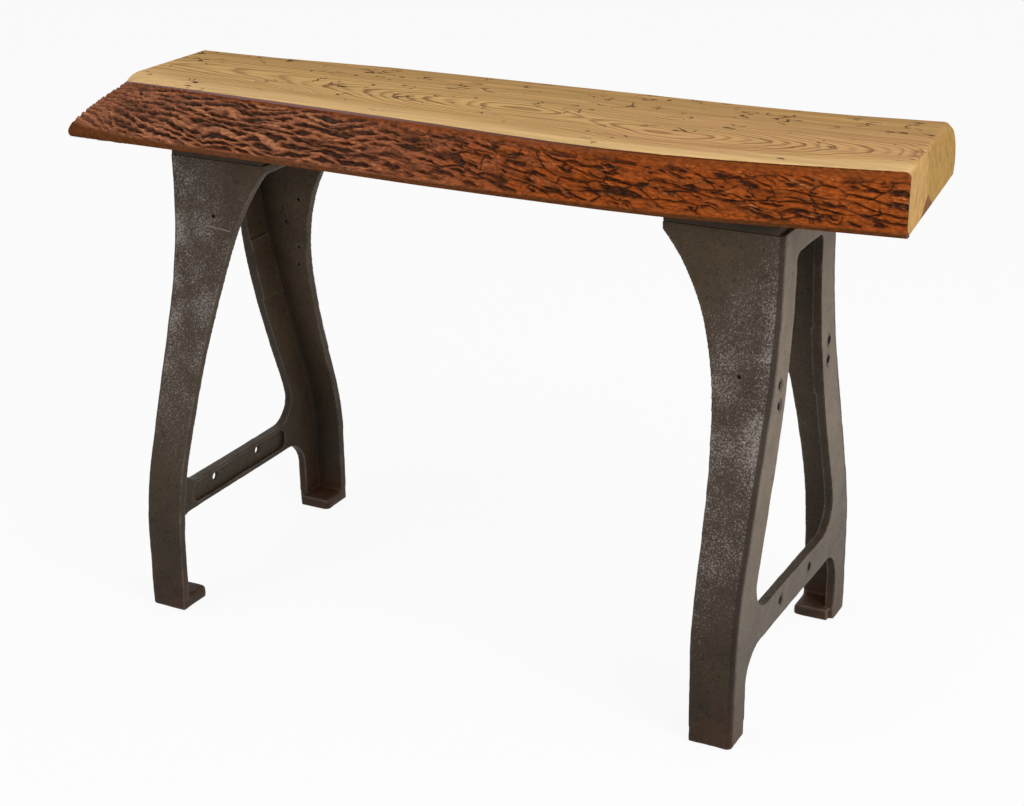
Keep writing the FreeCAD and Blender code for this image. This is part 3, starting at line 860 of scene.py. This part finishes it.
def sealed_cast_iron(settings):
    """Sand cast iron, sealed dark brown: painted sheen and glints on worn flanges, pale smooth webs with
    painted light, painted shade in channels and holes, rust low down.
    """
    material = bpy.data.materials.new("sealed sand cast iron")
    add = start_nodes(material)
    coordinates = add("TexCoord").outputs
    x, y, height = add("SeparateXYZ", coordinates["Object"]).outputs
    normal_x, normal_y, _ = add("SeparateXYZ", coordinates["Normal"]).outputs
    kept_values = ("arris", "flange_edge", "inset", "bore")
    arris, flange_edge, inset, bore = (
        add("Attribute", attribute_name=name).outputs["Fac"] for name in kept_values
    )
    pebbles, patches, pores = (
        add("TexNoise", coordinates["Object"], per_metre(size), detail, roughness)
        for size, detail, roughness in ((settings.pebble, 3.0, 0.6), (0.06, 4.0, 0.6), (0.009, 2.0, 0.5))
    )

    # The outer face of a web is smooth and pale, with painted light, up to the dark rounded edge of the
    # flange
    side = add("Math", x, operation="SIGN")
    end = add("Math", y, operation="SIGN")
    outwards = add("Math", normal_x, side, operation="MULTIPLY")
    endwards = add("Math", normal_y, end, operation="MULTIPLY")
    flange = add("MapRange", endwards, 0.3, 0.7)
    channel = add("MapRange", endwards, -0.3, -0.7)
    rounded = add("Math", outwards, endwards, operation="MULTIPLY")
    rounded = add("MapRange", rounded, 0.16, 0.36)
    inside = add("Math", 1.0, flange_edge, operation="SUBTRACT")
    web = add("MapRange", outwards, 0.8, 0.97)
    web = add("Math", web, inside, operation="MULTIPLY")

    # The flanges are worn and carry painted sheen at mid height, higher up only near their outer edge
    wear_and_sheen = add("Math", inset, 1.1, height, operation="MULTIPLY_ADD")
    lift = add("MapRange", side, -1.0, 1.0, -0.07, 0.02)
    wear_and_sheen = add("Math", lift, wear_and_sheen, operation="ADD")
    wear_and_sheen = add("ValToRGB", wear_and_sheen, stops=((0.19, 0.0), (0.35, 0.8), (0.53, 1.0), (0.71, 0.8), (0.84, 0.0)))
    patchy = add("MapRange", patches, 0.36, 0.6, 0.45, 1.0)
    for limit in (flange, patchy):
        wear_and_sheen = add("Math", wear_and_sheen, limit, operation="MULTIPLY")
    iron = settings.iron
    # Grey with painted sheen on the worn flanges, pale with painted light on the webs
    for share, cover in ((wear_and_sheen, settings.grey_iron), (web, settings.pale_iron)):
        iron = add("Mix", share, iron, cover, data_type="RGBA")

    # Patches, darker towards the bottom, painted shade in the channels, cast grain, dark arrises and pores
    tone = add("MapRange", patches, *NOISE_BAND, 0.82, 1.18)
    darker_low = add("MapRange", height, 0.02, 0.38, 0.48, 1.0)
    # Painted shade: the channels darken towards their inner corners and lighten towards the free edges of the
    # flanges
    corner = add("MapRange", inset, 16 * MM, 90 * MM, 0.6, 1.15)
    corner = add("Mix", channel, 1.0, corner)
    grain = add("MapRange", pebbles, *NOISE_BAND, 0.7, 1.25)
    grain = add("Mix", web, grain, 1.0)
    edge_tone = add("MapRange", rounded, 0.0, 1.0, 1.0, 0.55)
    pore_tone = add("MapRange", pores, 0.64, 0.7, 1.0, 0.6)
    for factor in (tone, darker_low, grain, edge_tone, corner, pore_tone):
        iron = add("VectorMath", iron, factor, operation="MULTIPLY")
    rust = add("MapRange", height, 0.2, 0.03)
    rust = add("Math", rust, patches, operation="MULTIPLY")
    rust = add("MapRange", rust, 0.3, 0.6, 0.0, 0.6)

    # Painted glints on the pebbles, densest near the outer edges of the flanges, and painted highlights with
    # wear on the arrises
    near_edge = add("MapRange", inset, 34 * MM, 12 * MM, 0.23, 0.33)
    speck = add("Math", wear_and_sheen, near_edge, pebbles, operation="MULTIPLY_ADD")
    speck = add("MapRange", speck, 0.68, 0.9, 0.0, 0.55)
    flat = add("Math", 1.0, rounded, operation="SUBTRACT")
    speck = add("Math", speck, flat, operation="MULTIPLY")
    # Painted highlights with wear along the sharp arrises, left out under the head
    arris_wear_and_glint = add("MapRange", patches, 0.35, 0.65, 0.03, 0.22)
    below_head = add("MapRange", height, 0.75, 0.73)
    for limit in (arris, below_head):
        arris_wear_and_glint = add("Math", arris_wear_and_glint, limit, operation="MULTIPLY")

    # One long scratch crosses the front flange of the left leg
    scratch_start = 66 * MM
    scratch_end = 116 * MM
    scratch_middle = (scratch_start + scratch_end) / 2
    scratch_height = 646 * MM
    scratch_fall = 0.1
    scratch_level = scratch_height + scratch_fall * scratch_start
    scratch_share = 0.35
    scratch = add("Math", inset, scratch_fall, height, operation="MULTIPLY_ADD")
    scratch = add("Math", scratch, scratch_level, 0.9 * MM, operation="COMPARE")
    reach = add("Math", inset, scratch_middle, scratch_end - scratch_middle, operation="COMPARE")
    on_left = add("Math", x, 0.0, operation="LESS_THAN")
    in_front = add("Math", y, 0.0, operation="LESS_THAN")
    facing_front = add("Math", normal_y, -0.5, operation="LESS_THAN")
    for limit in (reach, on_left, in_front, facing_front, scratch_share):
        scratch = add("Math", scratch, limit, operation="MULTIPLY")
    for bright_mark in (arris_wear_and_glint, scratch):
        speck = add("Math", speck, bright_mark, operation="MAXIMUM")
    # Rust, the painted glints and highlights with the scratch, and painted shade in the drilled holes
    for share, cover in ((rust, settings.rust), (speck, settings.glint), (bore, settings.bore)):
        iron = add("Mix", share, iron, cover, data_type="RGBA")
    relief = add("MapRange", web, 0.0, 1.0, 0.6, 0.12)
    bump = add("Bump", relief, Distance=1.2 * MM, Height=pebbles)
    roughness = add("MapRange", pebbles, *NOISE_BAND, 0.6, 0.4)
    add("OutputMaterial", add("BsdfPrincipled", iron, Roughness=roughness, Normal=bump, **{
        "Specular IOR Level": 0.15,
    }))
    return material


def spread(shape, values, share):
    """Give each vertex of a bmesh its own value, or a share of a neighbour's where that is more."""
    shape.verts.index_update()
    return [
        max([value] + [share * values[edge.other_vert(vertex).index] for edge in vertex.link_edges])
        for vertex, value in zip(shape.verts, values)
    ]


def edge_glint_and_band(shape, side):
    """How sharp each vertex of a casting stands out, where painted highlights with wear go, and a band along
    the outer edges of its flanges.
    """
    leaning = 0.15
    band_rings = 2
    sharp = []
    band = []
    for vertex in shape.verts:
        turn = math.degrees(max(edge.calc_face_angle_signed(0) for edge in vertex.link_edges))
        sharp.append(ease(12, 35, turn))
        endwards = vertex.normal.y * math.copysign(1, vertex.co.y)
        outer = vertex.normal.x * side > leaning and endwards > leaning
        band.append(ease(5, 15, turn) if outer else 0.0)
    for _ in range(band_rings):
        band = spread(shape, band, 1.0)
    return sharp, band


def bore_share(shape):
    """How much painted shade a vertex takes: 1 where it looks at the opposite wall of a drilled hole, half
    that on the rim, else 0.
    """
    widest_hole = 13 * MM
    clear = 0.3 * MM
    walls = bvhtree.BVHTree.FromBMesh(shape)
    shares = []
    for vertex in shape.verts:
        start = vertex.co + vertex.normal * clear
        shares.append(1.0 if walls.ray_cast(start, vertex.normal, widest_hole)[0] else 0.0)
    return spread(shape, shares, 0.5)


class LIVE_EDGE_OT_castings(bpy.types.Operator):
    """Skin both leg castings as they come from the sand, with eased edges"""

    bl_idname = "live_edge.castings"
    bl_label = "Leg castings"

    def execute(self, context):
        settings = context.scene.live_edge_iron
        material = sealed_cast_iron(settings)
        foot_height = 0.025
        wave_length = 0.035
        for side, way in (("left", -1), ("right", 1)):
            node = side + "_leg_casting"
            low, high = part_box(node)
            outer_face = high.x if way > 0 else low.x
            shape = merged_copy(node)
            reskin(shape, settings.skin)
            smooth(shape, 2, shape.verts)
            smooth(shape, 4, [vertex for vertex in shape.verts if vertex.co.z < foot_height])
            sharp, band = edge_glint_and_band(shape, way)
            bores = bore_share(shape)
            for vertex in shape.verts:
                wave = clamp(0.5 + noise.fractal(vertex.co / wave_length, 0.8, 2.0, 3))
                vertex.co -= vertex.normal * settings.sand_waves * wave
            keep_in_box(shape, low, high)
            insets = [abs(vertex.co.x - outer_face) for vertex in shape.verts]
            piece = new_piece(side + "_casting_skin", shape, material, node)
            store(piece, arris=sharp, flange_edge=band, inset=insets, bore=bores)
        return {"FINISHED"}


# Plates and fasteners


def painted_plate(settings):
    """Mild steel plate under dark satin paint, slightly uneven from the brush."""
    material = bpy.data.materials.new("painted mild steel")
    add = start_nodes(material)
    strokes = (per_metre(0.03), per_metre(0.004), per_metre(0.02))
    brush = add("Mapping", add("TexCoord").outputs["Object"], Scale=strokes)
    brush = add("TexNoise", brush, 1.0, 3.0)
    tone = add("MapRange", brush, *NOISE_BAND, 0.8, 1.25)
    paint = add("VectorMath", settings.plate_paint[:3], tone, operation="MULTIPLY")
    bump = add("Bump", Strength=0.15, Distance=0.3 * MM, Height=brush)
    add("OutputMaterial", add("BsdfPrincipled", paint, Roughness=0.65, Normal=bump, **{
        "Specular IOR Level": 0.15,
    }))
    return material


def zinc_plate(settings):
    """Zinc plated steel: bright grey with dull patches."""
    material = bpy.data.materials.new("zinc plated steel")
    add = start_nodes(material)
    cloud = add("TexNoise", add("TexCoord").outputs["Object"], per_metre(0.006), 3.0)
    tone = add("MapRange", cloud, *NOISE_BAND, 0.75, 1.0)
    zinc = add("VectorMath", settings.zinc[:3], tone, operation="MULTIPLY")
    roughness = add("MapRange", cloud, 0.0, 1.0, 0.3, 0.5)
    add("OutputMaterial", add("BsdfPrincipled", zinc, Metallic=1.0, Roughness=roughness))
    return material


def finish_nodes(material, *node_names):
    """Give CAD nodes, whose shape stays, a better material."""
    for name in node_names:
        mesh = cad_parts[name].data
        mesh.materials.clear()
        mesh.materials.append(material)


class LIVE_EDGE_OT_plates(bpy.types.Operator):
    """Paint the two mounting plates"""

    bl_idname = "live_edge.plates"
    bl_label = "Mounting plates"

    def execute(self, context):
        material = painted_plate(context.scene.live_edge_iron)
        finish_nodes(material, "left_mounting_plate", "right_mounting_plate")
        return {"FINISHED"}


class LIVE_EDGE_OT_fasteners(bpy.types.Operator):
    """Finish the lag screws and washers in zinc"""

    bl_idname = "live_edge.fasteners"
    bl_label = "Fasteners"

    def execute(self, context):
        material = zinc_plate(context.scene.live_edge_iron)
        finish_nodes(material, "lag_screws", "washers")
        return {"FINISHED"}


# Stage


def white_to_the_eye(add):
    """How far a ray shows the plain background: camera, mirror and clear rays do."""
    rays = add("LightPath").outputs
    seen = rays["Is Camera Ray"]
    for name in ("Is Glossy Ray", "Is Transmission Ray"):
        seen = add("Math", seen, rays[name], operation="MAXIMUM")
    return seen


def studio_floor():
    """Pale seamless paper that is white to the eye and keeps a faint shadow."""
    material = bpy.data.materials.new("seamless white paper")
    add = start_nodes(material)
    shadow_share = 0.1
    paper = add("BsdfDiffuse", linear("#F4F4F4"))
    white = add("Emission", linear("#FFFFFF"), 1.0)
    share = add("Math", white_to_the_eye(add), 1 - shadow_share, operation="MULTIPLY")
    add("OutputMaterial", add("MixShader", share, paper, white))
    return material


def studio_world(settings):
    """White to the eye, with an even light for everything else."""
    world = bpy.data.worlds.new("studio")
    add = start_nodes(world)
    even = add("Background", linear("#FFFFFF"), settings.ambient)
    white = add("Background", linear("#FFFFFF"), 1.0)
    add("OutputWorld", add("MixShader", white_to_the_eye(add), even, white))
    return world


def soft_lamp(name, place, target, size, power):
    """A large square lamp that looks at a point of the table."""
    lamp = bpy.data.lights.new(name, "AREA")
    lamp.shape = "SQUARE"
    lamp.size = size
    lamp.energy = power
    carrier = bpy.data.objects.new(name, lamp)
    carrier.location = place
    carrier.rotation_euler = (Vector(target) - Vector(place)).to_track_quat("-Z", "Y").to_euler()
    bpy.context.scene.collection.objects.link(carrier)


class LIVE_EDGE_OT_stage(bpy.types.Operator):
    """Set the floor, the lamps and the camera"""

    bl_idname = "live_edge.stage"
    bl_label = "Stage"

    def execute(self, context):
        settings = context.scene.live_edge_stage
        scene = context.scene
        scene.view_settings.view_transform = "Standard"
        scene.world = studio_world(settings)

        paper = bmesh.new()
        bmesh.ops.create_grid(paper, x_segments=1, y_segments=1, size=settings.floor_size / 2)
        mesh = bpy.data.meshes.new("floor")
        paper.to_mesh(mesh)
        paper.free()
        mesh.materials.append(studio_floor())
        floor = bpy.data.objects.new("floor", mesh)
        scene.collection.objects.link(floor)

        middle = (cad_low + cad_high) / 2
        soft_lamp("key lamp", (3.0, -1.2, 2.7), middle, 2.2, settings.key_power)
        soft_lamp("fill lamp", (-2.4, -3.0, 3.0), middle, 2.6, settings.fill_power)

        camera = bpy.data.cameras.new("camera")
        camera.sensor_fit = "HORIZONTAL"
        camera.sensor_width = 36.0
        camera.lens = settings.lens
        camera.clip_end = settings.floor_size
        viewer = bpy.data.objects.new("camera", camera)
        viewer.matrix_world = (
            Matrix.Translation(settings.position)
            @ Matrix.Rotation(settings.azimuth, 4, "Z")
            @ Matrix.Rotation(math.pi / 2 - settings.elevation, 4, "X")
            @ Matrix.Rotation(settings.roll, 4, "Z")
        )
        scene.collection.objects.link(viewer)
        scene.camera = viewer
        return {"FINISHED"}


class LIVE_EDGE_PT_table(bpy.types.Panel):
    """Sizes, colours and steps of the console table"""

    bl_label = "Live Edge Console Table"
    bl_idname = "LIVE_EDGE_PT_table"
    bl_space_type = "VIEW_3D"
    bl_region_type = "UI"
    bl_category = "Table"

    def draw(self, context):
        for group, settings in SETTINGS.items():
            box = self.layout.box()
            box.label(text=settings.__doc__)
            for name in settings.__annotations__:
                box.prop(getattr(context.scene, group), name)
        for step in STEPS:
            self.layout.operator(step.bl_idname)


SETTINGS = {
    "live_edge_plank": PlankSettings,
    "live_edge_bark": BarkSettings,
    "live_edge_iron": IronSettings,
    "live_edge_stage": StageSettings,
}
STEPS = [
    LIVE_EDGE_OT_plank,
    LIVE_EDGE_OT_bark,
    LIVE_EDGE_OT_castings,
    LIVE_EDGE_OT_plates,
    LIVE_EDGE_OT_fasteners,
    LIVE_EDGE_OT_stage,
]


def register():
    for group, settings in SETTINGS.items():
        bpy.utils.register_class(settings)
        setattr(bpy.types.Scene, group, bpy.props.PointerProperty(type=settings))
    for step in STEPS:
        bpy.utils.register_class(step)
    bpy.utils.register_class(LIVE_EDGE_PT_table)


def unregister():
    bpy.utils.unregister_class(LIVE_EDGE_PT_table)
    for step in reversed(STEPS):
        bpy.utils.unregister_class(step)
    for group, settings in SETTINGS.items():
        delattr(bpy.types.Scene, group)
        bpy.utils.unregister_class(settings)


def main():
    register()
    bpy.ops.live_edge.stage()
    bpy.ops.live_edge.plank()
    bpy.ops.live_edge.bark()
    bpy.ops.live_edge.castings()
    bpy.ops.live_edge.plates()
    bpy.ops.live_edge.fasteners()


if __name__ == "__main__":
    main()
